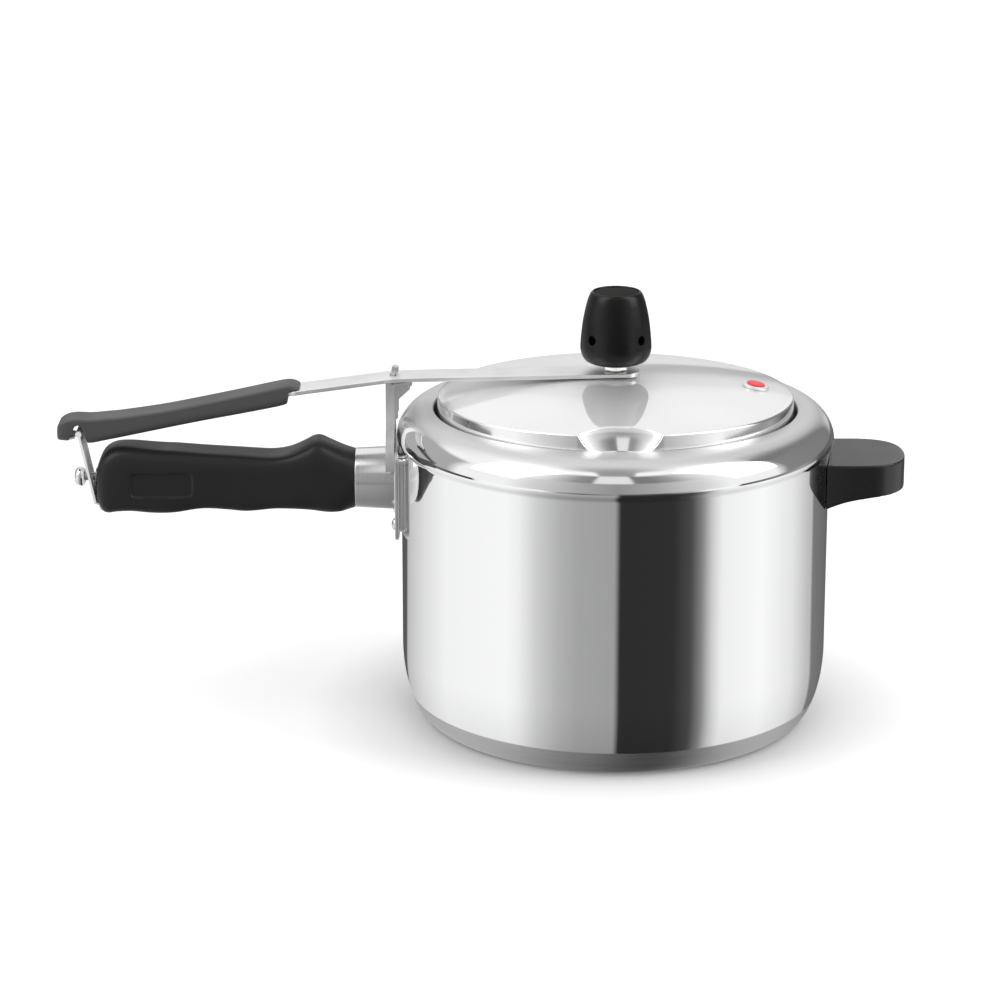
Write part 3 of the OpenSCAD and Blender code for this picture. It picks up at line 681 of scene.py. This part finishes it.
PANEL_Y, PANEL_DEEP = -14.3, 3   # middle and depth of the panel's cutter
LATCH_SLOT = [(-250, 101.2), (-242.2, 101.2), (-242.2, 109.2), (-250, 109.2)]
LATCH_WIDE = 15.8


def oval_section(x, top, low, half, squareness):
    """A rounded section. The higher the squareness, the flatter its sides."""
    ring = []
    for angle in np.linspace(0, 2 * math.pi, 48, endpoint=False):
        c, s = math.cos(angle), math.sin(angle)
        y = half * math.copysign(abs(c) ** (2 / squareness), c)
        z = (top + low) / 2 + (top - low) / 2 * math.copysign(abs(s) ** (2 / squareness), s)
        ring.append((x, y, z))
    return ring


def rounded_plate(width, height, radius, middle):
    """The corners of a rounded rectangle round a middle point, as a closed outline."""
    outline = []
    for sx, sy, start in ((1, 1, 0), (-1, 1, 90), (-1, -1, 180), (1, -1, 270)):
        for turn in np.radians(np.arange(start, start + 91, 15)):
            outline.append((middle[0] + sx * (width / 2 - radius) + radius * math.cos(turn),
                            middle[1] + sy * (height / 2 - radius) + radius * math.sin(turn)))
    return outline


def build_lower_grip():
    grip = skin("lower_grip_body", [oval_section(*s) for s in flowing(LOWER_STATIONS, 4)])
    combine(grip, "DIFFERENCE", prism("panel", rounded_plate(*PANEL), PANEL_DEEP, "Y", PANEL_Y),
            rod("counterbore", 6, -250, -241, "X", BOLT_AT, 96), prism("latch_slot", LATCH_SLOT, LATCH_WIDE))
    return moulded(grip, voxel=0.42, smoothing=3)


dress(build_lower_grip(), BLACK_GRIP, "pot", "lower_grip")

# %% [markdown]
# ## The upper grip
# The lever's grip is a long wedge: narrow on top, wider below, and stepped at its inner end where the steel comes
# out. A notch under its nose takes the latch. It is a loft again, with squarer sections and two cutters.

# %% Upper grip
UPPER_STATIONS = [  # x, top, underside, half width above and below
    (-265.5, 142.2, 138, 6.2, 7.4), (-264.8, 144.4, 137, 7.2, 8.6), (-261.5, 146.4, 136.9, 7.9, 9.3),
    (-257, 147.2, 136.5, 8, 9.4), (-250, 147, 135.7, 8, 9.5), (-242, 147.7, 137.2, 8, 9.5),
    (-235, 148.4, 138.6, 8, 9.5), (-216, 151.2, 142.6, 8, 9.5), (-197, 154.9, 146.5, 8, 9.5),
    (-178, 158.9, 150.1, 8, 9.5), (-162, 162.4, 153.3, 8, 9.5), (-156, 163.5, 154.9, 7.8, 9.4),
    (-152.6, 163.3, 156.9, 7.2, 8.8), (-150, 162.2, 158.6, 6.4, 8)]
WEDGE_TOP, WEDGE_LOW = 1.3, 3.6  # radii of the wedge's corners above and below
STEP = [(-155.8, 150), (-148, 150), (-148, 161.75), (-152, 161.2), (-155.8, 160.45)]
NOTCH = [(-250.7, 134), (-253, 141.4), (-253.6, 143.4), (-255.5, 144.4), (-257.4, 143.4), (-258, 141.4),
         (-260.4, 136), (-260.4, 134)]


def wedge_section(x, top, low, half_top, half_low):
    """A trapezoid with rounded corners."""
    low -= 0.5
    radius = min(WEDGE_LOW, (top - low) * 0.45, half_low * 0.45)
    corners = [(0, low, 0), (half_low, low, radius), (half_top, top, WEDGE_TOP),
               (-half_top, top, WEDGE_TOP), (-half_low, low, radius), (0, low, 0)]
    return [(x, y, z) for y, z in rounded(corners, turn=20)[:-1]]


def build_upper_grip():
    grip = skin("upper_grip_body", [wedge_section(*s) for s in flowing(UPPER_STATIONS, 4)])
    combine(grip, "DIFFERENCE", prism("step", STEP, 40), prism("notch", NOTCH, 40))
    return moulded(grip, voxel=0.34, smoothing=2)


dress(build_upper_grip(), GREY_GRIP, "lever", "upper_grip")

# %% [markdown]
# ## The side grip
# The short grip is a block whose front and back swell a little and run round two soft corners into its end. Its
# underside is an arch for the fingers, which starts at the wall and flattens outwards, and a boss under it holds
# the screw. Its inner face is cut by the pot's own cylinder, so it lies against the wall.

# %% Side grip
SIDE_END, SIDE_HALF, SIDE_TOP = box_mm("side_grip")[1]
SIDE_PLAN = [(94, 23.5), (104, 24.1), (113, SIDE_HALF + 0.3), (122, 23.6), (129, 21.2), (134, 16.8), (137.2, 10),
             (SIDE_END + 0.2, 0)]
ARCH_Z, ARCH_DROP, ARCH_X, ARCH_REACH = 114.6, 7.6, 99.2, 13.9  # the finger arch climbs towards ARCH_Z
SCREW_AT = (120.0, 0, 0)
BOSS_R, BOSS_LOW = 6.8, 110.6    # the boss round the screw
BORE_R, BORE_TOP = 4.0, 113.2    # the hole for the screw's head


def side_under(x):
    """Height of the finger arch at a distance from the pot's axis."""
    return ARCH_Z - ARCH_DROP * math.exp((ARCH_X - x) / ARCH_REACH)


def build_side_grip():
    profile = [(94, SIDE_TOP + 0.1), (145, SIDE_TOP + 0.1)]
    profile += [(x, side_under(x)) for x in np.linspace(145, 94, 30)]
    block = prism("side_grip_body", profile, 2 * SIDE_HALF + 10)
    front = flowing(SIDE_PLAN + [(x, -y) for x, y in reversed(SIDE_PLAN[:-1])])
    combine(block, "INTERSECT", prism("plan", front, 60, "Z", 118))
    combine(block, "UNION", rod("boss", BOSS_R, BOSS_LOW, 118, at=SCREW_AT))
    combine(block, "DIFFERENCE", rod("wall", POT_R + 0.1, 90, 140, segments=POT_STEPS),
            rod("bore", BORE_R, 100, BORE_TOP, at=SCREW_AT))
    return moulded(block, voxel=0.42, smoothing=12)


dress(build_side_grip(), SIDE_BLACK, "pot", "side_grip")

# %% [markdown]
# ## The weight
# The weight is turned in outline and drilled afterwards: four holes let the steam out to the sides. The flat disc
# in its top is a piece of its own, a little below the rim.

# %% Weight
weight_low, weight_high = box_mm("weight_cap")
HOLE_Z = 186.9                   # height of the four steam holes
HOLE = [(0, 11), (1.95, 11), (1.95, 15.2), (2.75, 18), (0, 18)]  # it widens towards the outside
WEIGHT_SIDE = [(11.5, 173.6), (13.6, 174.4), (14.9, 175.3), (16.1, 177.3), (16.7, 179.3), (16.9, 181.4),
               (16.8, 183.3), (16.68, 185.3), (16.31, 189.2), (16.07, 191.2), (15.83, 193.2), (15.52, 195.2),
               (15.16, 197.1), (14.76, 199.1), (14.28, 201.1), (13.8, 203.1), (13.1, 205.2), (12.35, 206.9),
               (11.5, 207.9)]


def build_weight():
    low, top = weight_low[2], weight_high[2]
    side = flowing(WEIGHT_SIDE, 3)
    recess = [(11.1, top), (10.8, top - 0.15), (10.6, top - 0.5), (10.6, top - 1.6), (0, top - 1.6)]
    chamber = [(0, 190), (12.6, 190), (12.6, low + 2.6), (8, low + 2.6), (8, low + 0.2), (8.3, low)]
    cap = lathe("weight_body", chamber + [(9.5, low)] + side + recess, segments=128)
    for turn in range(45, 360, 90):
        drill = lathe("drill", HOLE, "X", (0, 0, HOLE_Z), 32)
        drill.data.transform(Matrix.Rotation(math.radians(turn), 4, "Z"))
        combine(cap, "DIFFERENCE", drill)
    shade(cap.data)
    return cap


dress(build_weight(), WEIGHT_BLACK, "weight", "weight_cap")
disc_low, disc_high = box_mm("weight_disc")
disc = lathe("weight_top_disc", [(0, disc_low[2])] + rounded([
    (disc_high[0], disc_low[2], 0), (disc_high[0], disc_high[2], 0.35), (0, disc_high[2], 0)]))
dress(disc, DISC_BLACK, "weight", "weight_disc")

# %% [markdown]
# ## Turned fittings
# The rivets, the ferrule, the latch's ball head and the tie bolt are small turned pieces. Each one is a short
# outline, and the four rivets are made by a loop and then joined, so that one piece stands for one node.


# %% Turned fittings
def join_pieces(name, pieces):
    """Joins several meshes into one."""
    work = bmesh.new()
    for piece in pieces:
        work.from_mesh(piece.data)
        bpy.data.objects.remove(piece)
    return new_object(name, mesh_from(work, name))


HEAD_R, HEAD_H = 3.1, 1.7        # radius and height of a rivet's head


def rivet(y, z, face, reach):
    """A domed rivet along X: its head stands on face and its shank goes inwards by reach."""
    dome = [(HEAD_R * math.sin(a), face - HEAD_H * math.cos(a)) for a in np.radians(np.arange(0, 91, 10))]
    shank = [(HEAD_R, face), (2, face + 0.1), (2, face + reach), (0, face + reach)]
    return lathe("rivet", dome + shank, "X", (0, y, z), 32)


PLATE_OUT = box_mm("handle_plate")[0][0]
WEB_OUT = PLATE_OUT - 1.5        # outer face of the bracket's web, which lies on the plate
rivets = [rivet(y, z, face, 9) for y, z, face in (
    (-15.5, 128.5, WEB_OUT), (15.5, 128.5, WEB_OUT), (-13, 97, PLATE_OUT), (13, 97, PLATE_OUT))]
dress(join_pieces("plate_rivet_heads", rivets), BRIGHT_STEEL, "pot", "plate_rivets")

start, end = box_mm("ferrule")[:, 0]
ferrule_line = rounded([(12.6, start, 0), (14.3, start, 0.4), (15.2, end, 0.3), (12.6, end, 0)])
ferrule = lathe("ferrule_sleeve", ferrule_line + [ferrule_line[0]], "X", (0, 0, GRIP_Z), 128)
dress(ferrule, FERRULE_STEEL, "pot", "ferrule")

start, end = box_mm("latch_knob")[:, 0]
knob_line = [(0, start)] + flowing([
    (2.6, start + 0.05), (3.8, start + 0.7), (4.55, start + 2.2), (4.5, start + 3.6), (3.6, end - 0.35),
    (2.2, end)], 4) + [(0, end)]
knob = lathe("latch_ball_head", knob_line, "X", BOLT_AT, 64)
dress(knob, BRIGHT_STEEL, "pot", "latch_knob")

start, end = box_mm("tie_bolt")[:, 0]
dress(rod("tie_bolt_rod", 2, start, end, "X", BOLT_AT, 32), DULL_STEEL, "pot", "tie_bolt")

# %% [markdown]
# ## The safety plug
# The red plug stands on the dome, square to the sheet, so its outlines are turned about an axis that leans with
# the dome. A pale metal collar shows as a ring round it.

# %% Safety plug
PLUG_X = 66.5
plug_lean = math.asin(PLUG_X / DOME[0])
plug_foot = (PLUG_X * MM, 0, dome_height(PLUG_X, 0) * MM)
plug_place = Matrix.Translation(plug_foot) @ Matrix.Rotation(plug_lean, 4, "Y")
collar_line = [(3.02, -7), (4.5, -7), (4.5, 0.06), (6.3, 0.06)] + rounded([
    (6.4, 0.1, 0), (6.4, 1.0, 0.2), (5.9, 1.4, 0.25), (4.4, 1.4, 0)]) + [(3.02, 1.35), (3.02, -7)]
collar = lathe("safety_plug_collar", collar_line, segments=64)
plug_line = [(0, -8.6), (3.9, -8.6), (3.9, -7.1), (2.95, -7.1), (2.95, 1.4), (4.0, 1.42)] + flowing([
    (4.25, 1.55), (4.22, 1.95), (3.9, 2.14), (3.2, 2.2)], 3) + [(0, 2.2)]
plug = lathe("safety_plug_button", plug_line, segments=64)
for piece in (collar, plug):
    piece.data.transform(plug_place)
dress(collar, LID_ALUMINIUM, "lid", "safety_collar")
dress(plug, RED_SILICONE, "lid", "safety_plug")

# %% [markdown]
# ## Sheet metal
# The plates, the fulcrum bracket, the latch strip and the nut have the right shape already, but a real part never
# has a razor edge. `soften` copies the CAD mesh, joins its faces again and puts a small bevel on its sharp edges,
# which is what catches the light.


# %% Sheet metal
def soften(node, width):
    piece = frame["nodes"][node].copy()
    piece.data = piece.data.copy()
    piece.name = node + "_soft"
    piece.parent = None
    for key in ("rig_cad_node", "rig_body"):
        del piece[key]
    scene.collection.objects.link(piece)
    work = bmesh.new()
    work.from_mesh(piece.data)
    bmesh.ops.remove_doubles(work, verts=work.verts, dist=0.002 * MM)
    bmesh.ops.dissolve_limit(work, angle_limit=math.radians(0.5), verts=work.verts, edges=work.edges)
    sharp = [e for e in work.edges if len(e.link_faces) == 2 and e.calc_face_angle() > math.radians(40)]
    bmesh.ops.bevel(work, geom=sharp, offset=width * MM, segments=2, profile=0.5, affect="EDGES",
                    clamp_overlap=True)
    piece.data = mesh_from(work, piece.name, 38)
    apply_modifier(piece, "WEIGHTED_NORMAL", keep_sharp=True)
    return piece


for node, width, material, body, slot in (
        ("handle_plate", 0.35, PLATE_STEEL, "pot", "brushed_steel"),
        ("backing_plate", 0.3, PLATE_STEEL, "pot", "brushed_steel"),
        ("fulcrum_bracket", 0.2, PLATE_STEEL, "pot", "brushed_steel"),
        ("latch_strip", 0.2, STRIP_STEEL, "latch", "polished_steel"),
        ("catch_plate", 0.15, BRIGHT_STEEL, "lever", "polished_steel"),
        ("hub_nut", 0.25, BRIGHT_STEEL, "lid", "polished_steel")):
    dress(soften(node, width), material, body, node)

# %% [markdown]
# ## The latch spring
# A coil is a tube along a helix, from one end of the CAD spring to the other.

# %% Latch spring
spring_low, spring_high = box_mm("latch_spring")
WIRE = 0.4
TURNS = 4
COIL_R = spring_high[1] - WIRE


def build_spring():
    rings = []
    steps = 32 * TURNS + 1
    way = np.linspace(spring_high[0] - WIRE, spring_low[0] + WIRE, steps)
    for x, angle in zip(way, np.linspace(0, 2 * math.pi * TURNS, steps)):
        ring = [(x + WIRE * math.sin(b), COIL_R + WIRE * math.cos(b)) for b in np.radians(np.arange(0, 360, 30))]
        rings.append([(along, r * math.cos(angle), BOLT_AT[2] + r * math.sin(angle)) for along, r in ring])
    return skin("latch_coil", rings)


coil = dress(build_spring(), BRIGHT_STEEL, "pot", "latch_spring")
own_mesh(coil)

# %% [markdown]
# ## What stays from the frame
# The pieces that hardly show keep their CAD shape and get the finish of the real thing.

# %% Finish the remaining nodes
for material, nodes in (
        (DULL_STEEL, ("bolt_boss", "side_bracket", "side_screw", "grip_screws", "vent_screen", "safety_nut")),
        (BRIGHT_STEEL, ("end_washer", "end_nut", "latch_pin", "fulcrum_pin", "side_rivets", "weight_core")),
        (PLATE_STEEL, ("fulcrum_saddle",)), (GREY_RUBBER, ("gasket",)), (BRASS, ("vent_pipe",)),
        (RED_SILICONE, ("vent_washer",))):
    for node in nodes:
        finish = frame["nodes"][node].data.materials
        finish.clear()
        finish.append(material)
    print(material.name, "finishes", *nodes)

# %% [markdown]
# ## The studio
# Polished metal shows the room more than itself. The room here is a white tent that was hung with cards, and it
# is written down as rows, one above the other: the cards near the floor, a narrow skirt, the walls, a row with a
# softbox over the camera, and the ceiling with a grey gap along its middle. Each row says how bright it is all
# the way round. The back has a profile of its own, because the lid shows nothing else. Only reflections see the
# tent. The camera sees plain white, and matt surfaces get an even light.

# %% Rows of the tent, as (degrees from the front, positive towards +X, and level)
DIFFUSE_LEVEL = 0.8
CARDS = [(-180, 0.1), (-153, 0.1), (-151, 0.52), (-124, 0.78), (-104, 0.95), (-61, 1.0), (-54, 0.92),
         (-43, 0.65), (-31, 0.47), (-20, 0.39), (-0.5, 0.36), (0.5, 0.027), (30, 0.03), (40, 0.07), (46, 0.24),
         (52, 0.65), (58, 0.92), (84, 1.02), (109, 0.83), (126, 0.55), (131, 0.52), (133, 0.2), (180, 0.1)]
SKIRT = [(-180, 0.3), (-120, 0.3), (-95, 0.08), (-80, 0.02), (-78, 0.9), (-73, 1.0), (-40, 1.0), (-30, 0.3),
         (-18, 0.15), (-0.5, 0.3), (0.5, 0.1), (24, 0.08), (38, 0.4), (46, 1.0), (64, 1.0), (66, 0.05), (85, 0.2),
         (110, 0.35), (130, 0.1), (180, 0.2)]
WALLS = [(-180, 0.42), (-160, 0.42), (-98, 0.42), (-90, 0.95), (-60, 0.95), (-45, 0.68), (-20, 0.4), (0, 0.3),
         (20, 0.4), (45, 0.68), (60, 0.95), (90, 0.95), (98, 0.24), (150, 0.2), (158, 0.6), (180, 0.8)]
SOFTBOX = [(-180, 0.97), (-60, 0.97), (-48, 0.85), (-36, 0.55), (-25, 0.3), (-15, 0.24), (-13, 0.8), (8, 0.8),
           (10, 0.2), (22, 0.22), (34, 0.36), (46, 0.66), (60, 0.95), (97, 0.95), (101, 0.2), (141, 0.2),
           (150, 0.85), (180, 0.97)]
BACK = [(-90, 0.7), (3, 0.7), (5, 0.15), (8, 0.1), (11, 0.25), (13.5, 0.5), (16, 0.64), (20, 0.68), (24, 0.95),
        (30, 1.0), (90, 1.0)]           # by elevation, in degrees
GAP = [(-1.0, 0.33), (0.0, 0.33), (0.34, 0.5), (0.7, 0.8), (1.0, 0.8)]  # along the ceiling, towards the back
GAP_HALF = (0.105, 0.13)                # the gap ends between these two sideways directions
TOP_GREY = 0.5                          # the patch straight above
CAMERA_Y = 0.956                        # how level the camera looks, for the upright edges of the cards
BACK_EDGE = (14, 20)                    # the back ends between these two angles from its middle
BAND_AT, BAND_SLOPE = 4.6, 1.4          # where the back's profile holds, and how fast it sinks to the sides
CARDS_FADE = (-75, -20)                 # below the second height the cards get dimmer, down to the first
SEAMS = {                               # each row takes over from the one below between two heights, in degrees
    "skirt": (-12, -10.5), "walls": (-5, -4), "softbox": (31, 36), "ceiling": (58, 65), "patch": (73, 79)}


# %% Studio world
def ramp(tree, value, stops):
    """A ramp over (position, level) stops, with positions from 0 to 1."""
    node = add_node(tree, "ValToRGB", {"Fac": value})
    elements = node.color_ramp.elements
    elements.remove(elements[1])
    for index, (position, level) in enumerate(stops):
        element = elements[0] if index == 0 else elements.new(position)
        element.position = position
        element.color = grey(level)
    return node.outputs["Color"]


def build_world():
    world = bpy.data.worlds.new("tent")
    scene.world = world
    world.use_nodes = True
    world.cycles.sampling_method = "NONE"
    tree = world.node_tree
    tree.nodes.clear()
    toward = add_node(tree, "TexCoord").outputs["Generated"]
    x, y, z = add_node(tree, "SeparateXYZ", {"Vector": toward}).outputs
    angle = calculate(tree, "ARCTAN2", x, calculate(tree, "MULTIPLY", y, -1.0))
    degrees = calculate(tree, "MULTIPLY", angle, 180 / math.pi)
    around = spread(tree, degrees, 0, 1, -180, 180)
    rise = calculate(tree, "MULTIPLY", calculate(tree, "ARCSINE", z), 180 / math.pi)

    def row(stops, position=around):
        return ramp(tree, position, [(0.5 + angle / 360, level) for angle, level in stops])

    def over(below, seam, above):
        return blend_colours(tree, spread(tree, rise, 0, 1, *SEAMS[seam]), below, above)

    from_back = calculate(tree, "SUBTRACT", 180, calculate(tree, "ABSOLUTE", degrees))
    from_band = calculate(tree, "SUBTRACT", from_back, BAND_AT)
    sunk = calculate(tree, "ADD", rise, calculate(tree, "MULTIPLY", from_band, BAND_SLOPE))
    back = ramp(tree, spread(tree, sunk, 0, 1, -90, 90), [(0.5 + e / 180, level) for e, level in BACK])
    gap = ramp(tree, spread(tree, y, 0, 1, -1, 1), [(0.5 + along / 2, level) for along, level in GAP])
    sideways = calculate(tree, "ABSOLUTE", x)
    white = over(grey(1.0), "patch", grey(TOP_GREY))
    ceiling = blend_colours(tree, spread(tree, sideways, 0, 1, *GAP_HALF), gap, white)
    at_back = spread(tree, from_back, 1, 0, *BACK_EDGE)
    walls = blend_colours(tree, at_back, over(row(SKIRT), "walls", row(WALLS)), back)
    upright = calculate(tree, "ARCTAN2", x, calculate(tree, "SUBTRACT", CAMERA_Y, y))
    turned = spread(tree, calculate(tree, "MULTIPLY", upright, 2 * 180 / math.pi), 0, 1, -180, 180)
    cards = blend_colours(tree, spread(tree, rise, 0.3, 0, *CARDS_FADE), row(CARDS, turned), grey(0.0))
    tent = over(over(over(cards, "skirt", walls), "softbox", row(SOFTBOX)), "ceiling", ceiling)
    path = add_node(tree, "LightPath")
    glossy = calculate(tree, "MAXIMUM", path.outputs["Is Glossy Ray"], path.outputs["Is Transmission Ray"])
    other = blend_colours(tree, path.outputs["Is Camera Ray"], grey(DIFFUSE_LEVEL), grey(1.0))
    colour = blend_colours(tree, glossy, other, tent)
    shining = add_node(tree, "Background", {"Color": colour, "Strength": 1.0})
    out = add_node(tree, "OutputWorld")
    tree.links.new(shining.outputs[0], out.inputs["Surface"])


build_world()
print("tent is up")

# %% [markdown]
# ## Floor and lamps
# The floor is pale and diffuse, and for the camera it also glows a little, so that it meets the white back
# without a line while it keeps the soft shadow. Close round the base the glow is left out, which paints a
# tighter, darker shadow there. Two big soft lamps hang to the left and right of the cooker.


# %% Floor and lamps
def build_floor():
    size = 6000
    floor = mesh_object("studio_floor", [(-size, -size, 0), (size, -size, 0), (size, size, 0), (-size, size, 0)],
                        [(0, 1, 2, 3)])
    material = bpy.data.materials.new("studio_white")
    material.use_nodes = True
    tree = material.node_tree
    shader = tree.nodes["Principled BSDF"]
    shader.inputs["Base Color"].default_value = grey(0.86)
    shader.inputs["Roughness"].default_value = 0.9
    shader.inputs["Specular IOR Level"].default_value = 0.0
    shader.inputs["Emission Color"].default_value = grey(1.0)
    path = add_node(tree, "LightPath")
    away = add_node(tree, "VectorMath", {"Vector": place(tree)}, operation="LENGTH").outputs["Value"]
    # the glow is left out close to the base, which paints a tight dark shadow round the pot, and it grows slowly
    # far away
    glow_beyond_painted_shadow = spread(tree, away, 0.0, 0.24, 0.1, 0.15)
    far = spread(tree, away, 0.0, 0.12, 0.6, 2.5)
    glow = calculate(tree, "MULTIPLY", path.outputs["Is Camera Ray"], calculate(tree, "ADD", glow_beyond_painted_shadow, far))
    tree.links.new(glow, shader.inputs["Emission Strength"])
    floor.data.materials.append(material)
    floor.visible_glossy = False


def soft_lamp(name, place_at, aim, size, power):
    data = bpy.data.lights.new(name, "AREA")
    data.shape = "RECTANGLE"
    data.size, data.size_y = size
    data.energy = power
    lamp = new_object(name, data)
    lamp.location = place_at
    lamp.rotation_euler = (Vector(aim) - Vector(place_at)).to_track_quat("-Z", "Y").to_euler()


build_floor()
soft_lamp("left_softbox", (-1.3, -0.5, 1.5), (0, 0, 0.1), (1.0, 1.6), 9)
soft_lamp("right_softbox", (1.3, -0.3, 1.3), (0, 0, 0.15), (0.9, 1.6), 11)
print("floor and two lamps")
